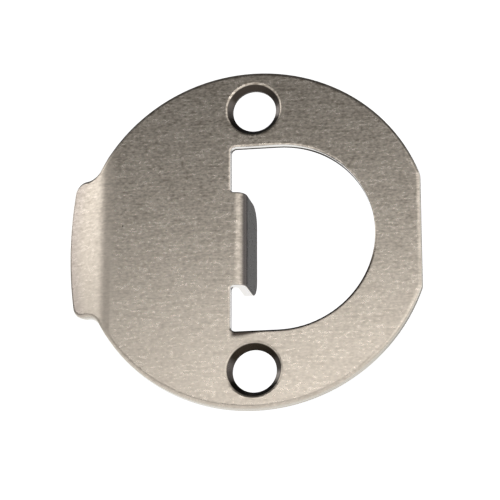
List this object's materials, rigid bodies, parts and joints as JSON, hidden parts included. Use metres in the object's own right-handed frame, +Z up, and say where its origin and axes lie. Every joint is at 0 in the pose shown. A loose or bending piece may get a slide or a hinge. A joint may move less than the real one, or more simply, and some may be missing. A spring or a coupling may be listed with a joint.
{
  "type": "door strike plate",
  "caption": "Round stamped strike plate with a D-shaped latch opening, countersunk screw holes, a bent-back lip for the latch and a tab bent into the mortise.",
  "frame": {"origin": "centre of the round plate and midway between the screw holes, on the back of the flat plate", "axes": "+Z up along the screw line, -X towards the lip, +Y into the door jamb"},
  "size_m": [0.0546, 0.0088, 0.054],
  "materials": {
    "satin_nickel": "satin nickel, fine grain across the plate"
  },
  "bodies": {
    "root": {"strike_plate": "satin_nickel"}
  },
  "joints": []
}
